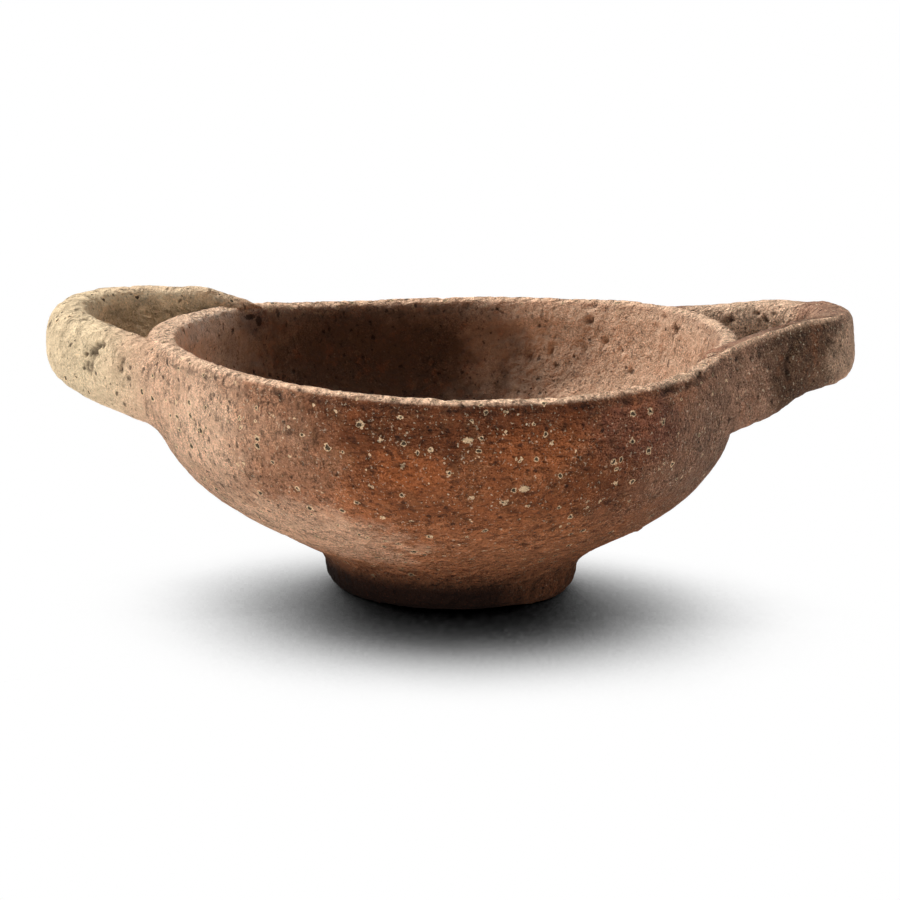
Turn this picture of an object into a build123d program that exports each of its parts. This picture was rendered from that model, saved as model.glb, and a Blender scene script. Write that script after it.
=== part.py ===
from math import acos, cos, hypot, radians, sin, sqrt
import os

from build123d import *

# Two-handled earthenware cup: a thrown bowl on a turned ring foot, with a strap handle luted to each side.
# All sizes are in millimetres. The origin is on the table under the middle of the ring foot, +Z is up,
# the handles lie along X and the front of the cup faces -Y.

# Bowl
rim_radius = 75.3
rim_height = 63.0
lip_thickness = 5.4
belly_radius = 72.0
belly_height = 40.0
shoulder_radius = 57.5
shoulder_height = 24.0
base_radius = 31.0
base_height = 8.0
base_slope = 33.0  # degrees, the rise of the wall where it leaves the base
wall_thickness = 6.2
floor_thickness = 7.0
bowl_shift = -1.5  # the bowl's axis stands this far along X from the foot's

# Ring foot
foot_radius = 32.0
foot_base_radius = 29.6
foot_base_rise = 3.6  # height over which the side swells from the base to the full radius
foot_wall = 8.5
foot_edge_round = 1.0

# Slip beds and the coil in the corner over the foot
slip_thickness = 0.6
foot_coil_drop = 1.6  # lower edge of the coil below the top of the foot
foot_coil_rise = 8.0
foot_coil_width = 4.6

# Strap handles
strap_thickness = 10.6
strap_edge_round = 4.4
tip_radius = 24.0  # centre line of the round end
arm_overlap = 11.5  # how far inside the rim's radius the centre line of an arm passes
arm_burial = 24.0  # length of an arm past the point where its centre line meets the wall
root_lift = 1.0  # top of the strap above the lip where its middle line meets the wall

# Each handle: its bearing round the bowl's axis in degrees, its reach from that axis, the rise of its
# round end, the height of its strap and the side of its middle line, along its own Y, that faces the front
handles = {
    "left": {"bearing": 167.0, "reach": 103.0, "rise": 5.0, "strap": 19.8, "front": 1},
    "right": {"bearing": 11.0, "reach": 104.6, "rise": 6.4, "strap": 16.8, "front": -1},
}

# Coils smeared round the handle roots, thin out along the strap and wide in the corner with the wall
coil_length = 16.0  # along the arm, outside the wall
coil_depth = 27.0  # along the arm, past the wall
coil_edge = 0.5  # thickness at the thin end, and above the strap at the wall
coil_web = 2.5  # at the wall, on the side of the finger hole
coil_flank = 1.1  # at the wall, outside
coil_under = 0.9  # at the wall, below
deep_web = 9.0  # at the full depth, on the side of the finger hole
deep_flank = 0.3  # at the full depth, outside and above
deep_under = 1.2  # at the full depth, below

lip_radius = lip_thickness / 2
floor_height = base_height + floor_thickness
foot_top = base_height - slip_thickness
foot_inner_radius = foot_radius - foot_wall
arm_offset = rim_radius - arm_overlap

# Stations along an arm from the wall, with the coil's thickness by the finger hole, outside, below and above
coil_stations = (
    (-coil_length, coil_edge, coil_edge, coil_edge, coil_edge),
    (0.0, coil_web, coil_flank, coil_under, coil_edge),
    (coil_depth, deep_web, deep_flank, deep_under, deep_flank),
)

bowl_origin = (bowl_shift, 0, 0)
bowl_plane = Plane(origin=bowl_origin, x_dir=(1, 0, 0), z_dir=(0, -1, 0))
bowl_axis = Axis(bowl_origin, (0, 0, 1))
os.makedirs("parts", exist_ok=True)


def finish(piece, name):
    piece.label = name
    export_step(piece, f"parts/{name}.step")
    print(name, "volume", round(piece.volume), "solids", len(piece.solids()))


# Outer face of the wall from the base to the lip, moved outwards by grow
def outer_wall(grow=0.0):
    return Spline(
        (base_radius + grow, base_height),
        (shoulder_radius + grow, shoulder_height),
        (belly_radius + grow, belly_height),
        (rim_radius + grow, rim_height - lip_radius),
        tangents=[(cos(radians(base_slope)), sin(radians(base_slope))), (0, 1)],
    )


# Point on the inner face, square across the wall from a share of the way up the outer face
def inner_point(wall, share):
    thickness = wall_thickness + (lip_thickness - wall_thickness) * share
    along = wall % share
    return wall @ share + Vector(-along.Y, along.X) * thickness


# All the space inside the bowl's outer face, carried up past the handles, for fitting pieces to the wall
def bowl_space(grow=0.0):
    top = rim_height + max(sizes["strap"] for sizes in handles.values())
    with BuildPart() as space:
        with BuildSketch(bowl_plane):
            with BuildLine():
                wall = outer_wall(grow)
                Polyline(wall @ 1, (rim_radius + grow, top), (0, top), (0, base_height), wall @ 0)
            make_face()
        revolve(axis=bowl_axis)
    return space.part


# Lines of one handle, in a plane that passes through its roots and tilts up to its round end
class HandleLines:
    def __init__(self, bearing, reach, rise, strap):
        tip_reach = reach - strap_thickness / 2
        tip_centre = tip_reach - tip_radius
        self.spread = acos((arm_offset - tip_radius) / tip_centre)
        wall_run = sqrt(rim_radius**2 - arm_offset**2)
        root_reach = arm_offset * cos(self.spread) + wall_run * sin(self.spread)
        run = tip_reach - root_reach
        slant = hypot(run, rise)
        away = Vector(cos(radians(bearing)), sin(radians(bearing)), 0)
        outward = away * (run / slant) + Vector(0, 0, rise / slant)
        upward = Vector(0, 0, run / slant) - away * (rise / slant)
        root_height = rim_height + root_lift - strap / 2
        origin = Vector(*bowl_origin) + away * root_reach + Vector(0, 0, root_height)
        self.plane = Plane(origin=origin, x_dir=outward, z_dir=upward)
        self.tip_centre = slant - tip_radius
        self.arm_length = tip_centre * sin(self.spread) - wall_run

    # Point on the round end's middle line, by its angle
    def round_point(self, angle):
        across = Vector(tip_radius * cos(angle), tip_radius * sin(angle))
        return self.plane.from_local_coords(Vector(self.tip_centre, 0) + across)

    # Direction of an arm's middle line, from the round end to the wall
    def arm_direction(self, side):
        return self.plane.y_dir * (side * cos(self.spread)) - self.plane.x_dir * sin(self.spread)

    # Point on an arm's middle line, by its distance past the wall
    def arm_point(self, side, along):
        return self.round_point(side * self.spread) + self.arm_direction(side) * (self.arm_length + along)

    # Plane square across an arm, with its X axis up the strap
    def across_arm(self, side, along):
        ahead = self.arm_direction(side)
        return Plane(origin=self.arm_point(side, along), x_dir=self.plane.z_dir, z_dir=ahead)


# Bowl
with BuildPart() as bowl:
    with BuildSketch(bowl_plane):
        with BuildLine():
            wall = outer_wall()
            lip_inside = (rim_radius - lip_thickness, rim_height - lip_radius)
            ThreePointArc(wall @ 1, (rim_radius - lip_radius, rim_height), lip_inside)
            belly_share = wall.param_at_point((belly_radius, belly_height))
            shoulder_share = wall.param_at_point((shoulder_radius, shoulder_height))
            inner_belly = inner_point(wall, belly_share)
            inner_shoulder = inner_point(wall, shoulder_share)
            inward = (wall % shoulder_share) * -1
            Spline(lip_inside, inner_belly, inner_shoulder, tangents=[(0, -1), (inward.X, inward.Y)])
            floor_bend = inner_shoulder + inward * ((floor_height - inner_shoulder.Y) / inward.Y)
            floor = Bezier(inner_shoulder, floor_bend, (0, floor_height))
            Polyline(floor @ 1, (0, base_height), wall @ 0)
        make_face()
    revolve(axis=bowl_axis)
finish(bowl.part, "bowl")

# Ring foot
with BuildPart() as foot_ring:
    with BuildSketch(Plane.XZ) as foot_section:
        with BuildLine():
            side = Spline((foot_radius, foot_base_rise), (foot_base_radius, 0), tangents=[(0, -1), (-1, -1)])
            inner_foot = (foot_inner_radius, 0)
            inner_top = (foot_inner_radius, foot_top)
            Polyline(side @ 1, inner_foot, inner_top, (foot_radius, foot_top), side @ 0)
        make_face()
        fillet(foot_section.vertices().group_by(Axis.Y)[0], foot_edge_round)
    revolve(axis=Axis.Z)
finish(foot_ring.part, "foot_ring")

# Slip bed on the foot and the coil smoothed into the corner outside it
with BuildPart() as foot_luting:
    with BuildSketch(Plane.XZ):
        with BuildLine():
            coil_bottom = foot_top - foot_coil_drop
            coil_top = coil_bottom + foot_coil_rise
            cove_edge = (foot_radius + foot_coil_width, coil_top)
            cove = Spline((foot_radius, coil_bottom), cove_edge, tangents=[(0, 1), (1, 1)])
            Polyline(cove @ 1, (foot_inner_radius, coil_top), (foot_inner_radius, coil_bottom), cove @ 0)
        make_face()
    revolve(axis=Axis.Z)
    add(bowl_space(), mode=Mode.SUBTRACT)
    add(foot_ring.part, mode=Mode.SUBTRACT)
finish(foot_luting.part, "foot_luting")

# Strap handles and the luting at their roots
for side_name, sizes in handles.items():
    strap_height = sizes["strap"]
    lines = HandleLines(sizes["bearing"], sizes["reach"], sizes["rise"], strap_height)
    with BuildPart() as handle:
        with BuildLine(lines.plane):
            Line(lines.arm_point(-1, arm_burial), lines.round_point(-lines.spread))
            ThreePointArc(*[lines.round_point(turn * lines.spread) for turn in (-1, 0, 1)])
            Line(lines.round_point(lines.spread), lines.arm_point(1, arm_burial))
        with BuildSketch(lines.across_arm(-1, arm_burial)):
            RectangleRounded(strap_height, strap_thickness, strap_edge_round)
        sweep()
        add(bowl_space(slip_thickness), mode=Mode.SUBTRACT)
    finish(handle.part, f"{side_name}_handle")

    for root_name, side in (("front", sizes["front"]), ("rear", -sizes["front"])):
        with BuildPart() as luting:
            for along, hole, outside, below, above in coil_stations:
                tall = strap_height + above + below
                thick = strap_thickness + hole + outside
                lift = (above - below) / 2
                shift = -side * (hole - outside) / 2
                with BuildSketch(lines.across_arm(side, along)):
                    with Locations((lift, shift)):
                        RectangleRounded(tall, thick, strap_edge_round)
            loft()
            add(bowl_space(), mode=Mode.SUBTRACT)
            add(handle.part, mode=Mode.SUBTRACT)
        finish(luting.part, f"{side_name}_{root_name}_luting")
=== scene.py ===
import math
from types import SimpleNamespace

import bpy
import numpy as np
from mathutils import Matrix, Vector


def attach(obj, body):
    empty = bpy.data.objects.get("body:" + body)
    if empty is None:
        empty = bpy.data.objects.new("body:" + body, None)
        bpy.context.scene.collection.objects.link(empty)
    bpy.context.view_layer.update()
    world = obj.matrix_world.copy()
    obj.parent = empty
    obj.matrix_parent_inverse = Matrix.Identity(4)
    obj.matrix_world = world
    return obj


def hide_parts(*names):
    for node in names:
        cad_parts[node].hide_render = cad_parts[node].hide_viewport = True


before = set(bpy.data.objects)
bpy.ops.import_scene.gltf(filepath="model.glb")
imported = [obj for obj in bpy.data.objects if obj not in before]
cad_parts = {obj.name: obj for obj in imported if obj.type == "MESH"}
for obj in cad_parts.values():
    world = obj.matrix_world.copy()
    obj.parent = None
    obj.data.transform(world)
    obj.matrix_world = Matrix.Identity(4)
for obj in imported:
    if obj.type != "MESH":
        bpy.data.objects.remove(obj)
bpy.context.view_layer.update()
mm = 0.001
tiny = 1e-9  # keeps a division away from zero
print("frame loaded:", len(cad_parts), "nodes")

# How far the fired cup is out of true: the bowl leans and is a little oval, and its rim dips front and back
outOfTrue = {
    "lean": -3.1,  # sideways shift of the rim against the foot, mm
    "leanPower": 0.6,  # below 1 the lean starts low in the wall
    "oval": -1.2,  # change of radius towards the handles, mm
    "saddle": 1.95,  # rise of the rim near the handles, mm
    "saddleBearing": 16.0,  # degrees
    "tilt": 0.6,  # rise of the rim on the right, mm
    "drop": 0.3,  # all round, mm
    "from": 8.0,  # heights between which the warp grows, mm
    "to": 63.0,
    "wide": 45.0,  # radius at which the rim's lift is full, mm
}


# Eased step: 0 below low, 1 above high, 3t^2 - 2t^3 between
def ease(value, low, high):
    t = np.clip((value - low) / (high - low), 0.0, 1.0)
    return t * t * (3 - 2 * t)


# Warp of the whole cup: the lean grows as a power of height and the oval evenly, the rim's lift grows eased
# and goes round as the cosine of twice the bearing plus that of the bearing
def settle(points):
    warp = outOfTrue
    x, y, z = np.moveaxis(points, -1, 0)
    bearing = np.arctan2(y, x)
    grown = np.clip((z - warp["from"]) / (warp["to"] - warp["from"]), 0.0, 1.0)
    stretch = 1 + warp["oval"] * np.cos(2 * bearing) * grown / lipRadius
    wave = warp["saddle"] * np.cos(2 * (bearing - math.radians(warp["saddleBearing"])))
    wave += warp["tilt"] * np.cos(bearing) - warp["drop"]
    lift = wave * ease(grown, 0.0, 1.0) * ease(np.hypot(x, y), 0.0, warp["wide"])
    lean = warp["lean"] * grown ** warp["leanPower"]
    return np.stack([x * stretch + lean, y * stretch, z + lift], axis=-1)


# Bit mixing behind every scatter: a prime for each axis and for the seed, then shifts with their multipliers
scatter = {
    "axes": (73856093, 19349663, 83492791),
    "seed": 668265263,
    "start": 0x7FFFFFFF,  # bits kept before the mixing, and while it runs
    "keep": 0x7FFFFFFFFFFF,
    "mix": ((15, 0x2C1B3C6D), (12, 0x297A2D39)) * 2,
    "draws": (3, 14, 25),  # lowest bit of each random number
    "most": 1023,
}


# Three even random numbers from 0 to 1 for each lattice cell, by mixing the bits of its indices
def cellRandom(cell, seed):
    key = cell @ np.array(scatter["axes"], dtype=np.int64) + seed * scatter["seed"]
    key = key & scatter["start"]
    for shift, factor in scatter["mix"]:
        key = ((key >> shift) ^ key) * factor & scatter["keep"]
    return np.stack([(key >> bit & scatter["most"]) / scatter["most"] for bit in scatter["draws"]], axis=-1)


# Gradient noise: a random slope at each corner of a unit lattice, blended with the fade 6t^5 - 15t^4 + 10t^3
def latticeNoise(points, seed):
    cell = np.floor(points).astype(np.int64)
    part = points - cell
    fade = part**3 * (part * (part * 6 - 15) + 10)
    total = np.zeros(points.shape[:-1])
    for corner in np.ndindex(2, 2, 2):
        offset = np.array(corner)
        slope = cellRandom(cell + offset, seed) * 2 - 1
        weight = np.prod(np.where(offset, fade, 1 - fade), axis=-1)
        total += weight * ((part - offset) * slope).sum(axis=-1)
    return total


# Lumps of a given size in mm: octaves of gradient noise, each half as large and half as high
def lumps(points, size, octaves, seed):
    return sum(latticeNoise(points / size * 2**k, seed + k) / 2**k for k in range(octaves))


# Share from 0 upwards that wanders about its mean with small lumps, for ragged edges
def raggedShare(points, ragged, seed):
    wander = ragged["swing"] * lumps(points, ragged["size"], 2, seed)
    return np.clip(ragged["mean"] + wander, 0.0, ragged["most"])


# Form of a pit, as shares: margin to its cell's sides, smallest size, and how far in its side reaches
pitForm = {"margin": 0.15, "smallest": 0.45, "side": 0.75, "luckSeed": 7}


# Scattered pits: each lattice cell may hold one, a smooth bowl from its size at the middle to 0 at its edge
def pits(points, spacing, reach, chance, seed):
    cell = np.floor(points / spacing).astype(np.int64)
    depth = np.zeros(points.shape[:-1])
    for corner in np.ndindex(3, 3, 3):
        near = cell + np.array(corner) - 1
        place = near + pitForm["margin"] + (1 - 2 * pitForm["margin"]) * cellRandom(near, seed)
        luck = cellRandom(near, seed + pitForm["luckSeed"])
        size = pitForm["smallest"] + (1 - pitForm["smallest"]) * luck[..., 1]
        apart = np.linalg.norm(points - place * spacing, axis=-1) / (size * reach)
        hollow = ease(1 - apart, 0.0, pitForm["side"]) * size
        depth = np.maximum(depth, np.where(luck[..., 0] < chance, hollow, 0.0))
    return depth


# Dent: 1 in its middle, falling as exp(-u^2 - v^2) with the distances along and up by its half sizes
def dent(along, up, wide, tall):
    return np.exp(-((along / wide) ** 2) - (up / tall) ** 2)


# Smooth value at a place along stations: a cubic on each span, with slopes taken across the stations
# on either side
def cubicAt(place, stations, values):
    stations, values = np.asarray(stations, dtype=float), np.asarray(values, dtype=float)
    slope = np.gradient(values, stations, axis=0)
    span = np.clip(np.searchsorted(stations, place, side="right") - 1, 0, len(stations) - 2)
    shape = (-1,) + (1,) * (values.ndim - 1)
    width = (stations[span + 1] - stations[span]).reshape(shape)
    t = (place - stations[span]).reshape(shape) / width
    near = (2 * t**3 - 3 * t**2 + 1) * values[span] + (t**3 - 2 * t**2 + t) * width * slope[span]
    far = (3 * t**2 - 2 * t**3) * values[span + 1] + (t**3 - t**2) * width * slope[span + 1]
    return near + far


# Smooth curve through knots, by the length along them, with a number of rows in each span
def throughKnots(knots, rowsPerSpan):
    knots = np.asarray(knots, dtype=float)
    run = np.concatenate([[0.0], np.cumsum(np.linalg.norm(np.diff(knots, axis=0), axis=1))])
    rows = [np.linspace(run[i], run[i + 1], n, endpoint=False) for i, n in enumerate(rowsPerSpan)]
    return cubicAt(np.append(np.concatenate(rows), run[-1]), run, knots)


# Unit normals of a grid of points, from the cross product of its differences both ways
def gridNormals(points, capped):
    across = np.roll(points, -1, axis=1) - np.roll(points, 1, axis=1)
    if capped:
        along = np.gradient(points, axis=0)
    else:
        along = np.roll(points, -1, axis=0) - np.roll(points, 1, axis=0)
    normal = np.cross(across, along)
    return normal / np.maximum(np.linalg.norm(normal, axis=-1, keepdims=True), tiny)


# Mesh of a grid in mm, closed along its columns, and along its rows too unless it is capped with a pole at
# the mean of each end row. Each of its stains is a number for every grid point, kept for the clay's colour
def gridPiece(name, points, stains, capped):
    rows, columns = points.shape[:2]
    index = np.arange(rows * columns).reshape(rows, columns)
    here = index[:-1] if capped else index
    ahead = index[1:] if capped else np.roll(index, -1, axis=0)
    corners = [here, np.roll(here, -1, axis=1), np.roll(ahead, -1, axis=1), ahead]
    quads = np.stack(corners, axis=-1).reshape(-1, 4)
    vertices = points.reshape(-1, 3)
    fans = np.zeros((0, 3), dtype=int)
    if capped:
        vertices = np.vstack([vertices, points[0].mean(axis=0), points[-1].mean(axis=0)])
        first, last = index[0], index[-1]
        start = np.stack([np.roll(first, -1), first, np.full(columns, rows * columns)], axis=-1)
        end = np.stack([last, np.roll(last, -1), np.full(columns, rows * columns + 1)], axis=-1)
        fans = np.vstack([start, end])
    triangles = np.vstack([quads[:, [0, 1, 2]], quads[:, [0, 2, 3]], fans])
    a, b, c = (vertices[triangles[:, k]] for k in range(3))
    if np.einsum("ij,ij->i", a, np.cross(b, c)).sum() < 0:
        quads, fans = quads[:, ::-1], fans[:, ::-1]
    mesh = bpy.data.meshes.new(name)
    mesh.from_pydata((vertices * mm).tolist(), [], quads.tolist() + fans.tolist())
    mesh.polygons.foreach_set("use_smooth", np.ones(len(mesh.polygons), dtype=bool))
    for stainAndShade, amount in stains.items():
        ends = [amount[0].mean(), amount[-1].mean()] if capped else []
        layer = mesh.attributes.new(stainAndShade, "FLOAT", "POINT")
        layer.data.foreach_set("value", np.append(amount.ravel(), ends))
    mesh.update()
    piece = bpy.data.objects.new(name, mesh)
    bpy.context.collection.objects.link(piece)
    print(name, len(triangles), "triangles")
    return piece


# Sizes that every piece's skin shares, in mm, and how far its seeds stand from the piece's own
clayBody = {"gritSize": 2.6, "pitSpacing": 5.5, "pitReach": 1.9, "gritSeed": 20, "pitSeed": 40}


# Clay skin in mm along the normal: slow lumps left by the hand, plus grit, less pits where temper burnt or
# fell out, with the share of a pit at each point
def claySkin(points, skin, seed):
    pitSeed = seed + clayBody["pitSeed"]
    hollow = pits(points, clayBody["pitSpacing"], clayBody["pitReach"], skin["pitChance"], pitSeed)
    height = skin["lumpHeight"] * lumps(points, skin["lumpSize"], 3, seed)
    height += skin["gritHeight"] * lumps(points, clayBody["gritSize"], 2, seed + clayBody["gritSeed"])
    return height - skin["pitDepth"] * hollow, hollow


# Bowl: its section from the middle of the underside, up the outside, over the lip and down to the floor.
# All sizes and heights are in mm
bowl = {
    "section": [
        (3.0, 7.4), (20.0, 7.4), (30.0, 8.2), (35.9, 11.1), (45.4, 16.1), (55.9, 22.0),
        (65.8, 30.1), (71.9, 38.5), (74.3, 47.0), (75.1, 55.0), (75.0, 59.0), (75.5, 60.9),
        (74.8, 62.7), (72.5, 63.4), (70.4, 62.5), (69.5, 59.8), (69.0, 53.0), (66.6, 43.0),
        (60.6, 33.5), (51.0, 25.8), (38.0, 19.4), (20.0, 15.8), (3.0, 15.0),
    ],
    "rowsPerSpan": [2, 2, 4, 7, 9, 11, 9, 9, 9, 5, 4, 4, 4, 4, 4, 7, 10, 10, 9, 7, 5, 3],
    "columns": 690,
    "seed": 11,
    "skin": {"lumpSize": 20.0, "lumpHeight": 0.5, "gritHeight": 0.2, "pitDepth": 0.5, "pitChance": 0.12},
    "insideRows": 8,  # rows past the lip's top over which the inside begins
    "lipHeights": (62.2, 63.2),  # where the lip's pale wear begins and is full
    "edgeHeights": (59.8, 60.8, 61.2, 62.4),  # dark line under the lip: begins, full, fades, ends
    # Rise of the rim at a handle's root: its spread in radians, and the heights over which it grows
    "rootRise": {"spread": 0.22, "heights": (50.0, 62.0)},
    # Lip that swells inwards beside a handle: bearing and spread in degrees, the heights over which it grows,
    # and the distances in from the lip's middle
    "thickLip": {
        "bearing": 176.0, "spread": 32.0, "by": 2.2, "heights": (46.0, 58.0), "inwards": (-0.5, 2.0),
    },
    # Pits inside, which come in from left to right, and how much deeper the skin's own pits are there
    "innerPits": {
        "across": (-5.0, 40.0), "share": 1.1, "spacing": 4.0, "reach": 2.3, "chance": 0.44, "depth": 1.1,
        "deeper": 0.3, "seed": 61,
        "ragged": {"size": 1.8, "mean": 0.6, "swing": 2.6, "most": 1.4}, "raggedSeed": 62,
    },
    # Wear of the lip: its lumps may stand proud by a little, and it is worst about one bearing, in radians,
    # between two cosines of the angle from it
    "lipWear": {
        "heights": (59.5, 62.5), "depth": 1.44, "size": 2.4, "proud": 0.06, "seed": 81,
        "least": 0.5, "worstAt": -0.7, "cosines": (0.85, 1.0),
    },
    # Marks outside: bearing in degrees, height, half width, half height and depth, a lump where negative
    "marks": [
        (-87.6, 53.2, 2.2, 1.3, -0.25), (-97.5, 47.2, 2.6, 0.8, 0.9), (-94.5, 46.6, 1.2, 0.7, 0.8),
        (-81.5, 60.5, 1.4, 1.0, 0.6), (-15.0, 18.0, 3.0, 1.0, -1.2), (-55.0, 61.5, 2.0, 1.2, 0.5),
        (-44.0, 61.8, 3.4, 1.4, 1.2), (-38.5, 61.0, 1.6, 1.0, 1.0), (-33.5, 62.4, 2.4, 1.0, 1.0),
        (-120.0, 61.5, 1.6, 1.0, 0.3),
    ],
    "markRadius": 74.0,  # where the marks' widths are measured
}
bowlSection = throughKnots(bowl["section"], bowl["rowsPerSpan"])
lipTop = int(np.argmax(bowlSection[:, 1]))
lipRadius, lipHeight = bowlSection[lipTop]
outerSection = bowlSection[:lipTop + 1]


# Radius of the outer face at a height, held at the lip's middle above the lip
def wallRadius(z):
    rising = outerSection[bowl["rowsPerSpan"][0]:]  # past the level span underneath
    return np.where(z < lipHeight, np.interp(z, rising[:, 1], rising[:, 0]), lipRadius)


# Surface of revolution of a section, as rows of points round the upright axis
def turned(section, columns):
    bearing = np.arange(columns) * 2 * np.pi / columns
    r, z = section[:, 0][:, None], section[:, 1][:, None]
    return np.stack([r * np.cos(bearing), r * np.sin(bearing), z + 0 * bearing], axis=-1)


# Angle from one bearing to another the short way round, in radians
def turnBetween(bearing, place):
    return np.angle(np.exp(1j * (bearing - place)))


# Handles: bearing and reach from the bowl's axis, radius of the round end, how far inside the rim the arms
# run. Stations go from the buried front end, by the front root at -1, the tip at 0 and the rear root at 1, to
# the buried rear end. They give the strap's top and bottom, its thickness and the slope of its top outwards
leftHandle = {
    "name": "left", "bearing": 167.0, "frontSign": -1.0, "reach": 105.4, "tipRadius": 24.0, "overlap": 11.5,
    "stations": (-1.6, -1.25, -1.0, -0.7, -0.35, 0.0, 0.3, 0.6, 0.85, 1.0, 1.2, 1.4, 1.6),
    "top": (58.0, 60.8, 62.4, 63.6, 65.8, 67.8, 69.0, 69.2, 68.6, 66.8, 63.4, 60.6, 58.0),
    "bottom": (42.6, 42.6, 42.9, 44.5, 47.8, 49.8, 49.6, 47.8, 46.2, 45.5, 45.0, 45.0, 45.0),
    "thickness": (10.0, 11.0, 11.6, 11.2, 11.8, 12.4, 11.6, 10.6, 10.6, 10.8, 11.0, 10.0, 9.0),
    "outward": (0.0, 0.0, 0.0, -0.1, -0.12, -0.1, 0.0, 0.05, 0.05, 0.05, 0.0, 0.0, 0.0),
    "square": 2.7, "rootRise": {"front": 0.0, "rear": 1.0}, "seed": 51,
    # Worn ridge: turn round the strap and spread in degrees, stations it runs between, height in mm, paleness
    "ridge": {"turn": 95.0, "spread": 34.0, "from": 0.2, "to": 1.1, "high": 0.1, "pale": 0.5},
    # Marks: station, turn round the strap in degrees, half length, half width and depth in mm
    "marks": [
        (-0.72, 47, 1.2, 1.2, 1.3), (-0.69, 37, 1.7, 0.9, 1.6), (-0.66, 28, 1.3, 1.2, 1.3),
        (-0.68, 19, 1.5, 0.8, 1.5), (-0.62, 9, 2.0, 1.0, 1.6), (-0.65, 0, 1.3, 0.9, 1.0),
        (-0.92, 24, 0.9, 1.3, 0.9), (-0.90, 10, 1.0, 1.2, 1.0), (-0.94, -2, 0.9, 0.8, 0.8),
        (-0.3, -14, 0.9, 1.1, 0.7),
    ],
}
rightHandle = {
    "name": "right", "bearing": 11.0, "frontSign": 1.0, "reach": 108.0, "tipRadius": 24.0, "overlap": 11.5,
    "stations": (-1.6, -1.25, -1.0, -0.85, -0.6, -0.35, 0.0, 0.3, 0.6, 0.85, 1.0, 1.25, 1.6),
    "top": (58.0, 63.4, 66.0, 67.0, 68.0, 68.3, 68.0, 66.8, 65.0, 63.6, 62.8, 61.0, 58.0),
    "bottom": (45.0, 44.8, 45.2, 47.0, 50.0, 51.3, 51.8, 51.0, 49.0, 47.2, 46.4, 46.0, 46.0),
    "thickness": (10.0, 10.8, 11.0, 11.0, 11.0, 11.0, 11.2, 11.0, 11.0, 11.0, 11.0, 10.6, 10.0),
    "outward": (0.0, 0.15, 0.3, 0.3, 0.25, 0.15, 0.0, 0.0, 0.0, 0.0, 0.0, 0.0, 0.0),
    "square": 3.4, "rootRise": {"front": 1.6, "rear": 0.4}, "seed": 71,
    "ridge": {"turn": 60.0, "spread": 8.0, "from": -1.3, "to": -0.2, "high": 1.0, "pale": 0.85},
    "marks": [
        (-0.68, 18, 0.8, 1.0, 0.9), (-0.71, 8, 1.2, 0.9, 1.1), (-0.74, -3, 0.9, 1.0, 0.9),
        (-0.44, 14, 1.0, 0.7, 0.8), (0.36, 152, 1.0, 0.9, 0.8), (0.42, 168, 1.3, 1.2, 1.0),
        (0.50, 186, 1.5, 1.2, 1.1), (0.47, 148, 1.0, 0.9, 0.9), (0.56, 204, 1.0, 1.2, 0.9),
        (0.62, 160, 1.2, 1.1, 1.0), (0.05, -40, 2.2, 1.6, -0.9),
    ],
}

# What both straps share, in mm: their arms are laid out from outside the lip's middle, and the buried ends
# are pressed out to inside the wall
strap = {
    "rowsAlong": 440, "columnsRound": 150, "burial": 26.0, "outset": 3.0, "pressDepth": 2.6, "pressMost": 2.8,
    "mmPerDegree": 0.14,  # round the strap, for the marks' widths
    "skin": {"lumpSize": 15.0, "lumpHeight": 0.8, "gritHeight": 0.25, "pitDepth": 0.7, "pitChance": 0.14},
    "ragged": {"size": 1.9, "mean": 0.7, "swing": 1.8, "most": 1.6},
    "raggedSeed": 60,  # this and the ridge's seed are steps from the handle's own
    # Ridge: stations over which it fades, its lumps, and the dark line below it, by its turn and spread
    "ridge": {
        "fade": 0.2, "mean": 0.6, "swing": 1.2, "size": 4.2, "seed": 90, "below": 26.0, "belowSpread": 12.0,
    },
}


# Middle line of a strap: in plan two straight arms that meet a round end, its heights from the stations
def strapLines(handle):
    stations, tipRadius = handle["stations"], handle["tipRadius"]
    rim = lipRadius + strap["outset"]
    tipCentre = handle["reach"] - cubicAt(np.zeros(1), stations, handle["thickness"])[0] / 2 - tipRadius
    armOffset = rim - handle["overlap"]
    spread = math.acos((armOffset - tipRadius) / tipCentre)
    arm = tipCentre * math.sin(spread) - math.sqrt(rim**2 - armOffset**2)
    bend = tipRadius * spread
    run = np.linspace(-1, 1, strap["rowsAlong"]) * (bend + arm + strap["burial"])
    angle = np.clip(run, -bend, bend) / tipRadius
    beyond = np.sign(run) * np.maximum(np.abs(run) - bend, 0)
    out = tipCentre + tipRadius * np.cos(angle) - np.abs(beyond) * math.sin(spread)
    across = (tipRadius * np.sin(angle) + beyond * math.cos(spread)) * handle["frontSign"]
    station = run / (bend + arm)
    keys = ("top", "bottom", "thickness", "outward")
    top, bottom, thickness, slope = (cubicAt(station, stations, handle[key]) for key in keys)
    b = math.radians(handle["bearing"])
    x = out * math.cos(b) - across * math.sin(b)
    y = out * math.sin(b) + across * math.cos(b)
    return SimpleNamespace(
        centre=np.stack([x, y, (top + bottom) / 2], axis=-1), run=run, station=station,
        tall=(top - bottom) / 2, thick=thickness / 2, slope=slope,
    )


# Bearing round the bowl of a handle's root, where its middle line is at the wall
def rootBearing(handle, rootName):
    lines = strapLines(handle)
    root = np.argmin(np.abs(lines.station - (-1.0 if rootName == "front" else 1.0)))
    return math.atan2(lines.centre[root, 1], lines.centre[root, 0])


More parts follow.
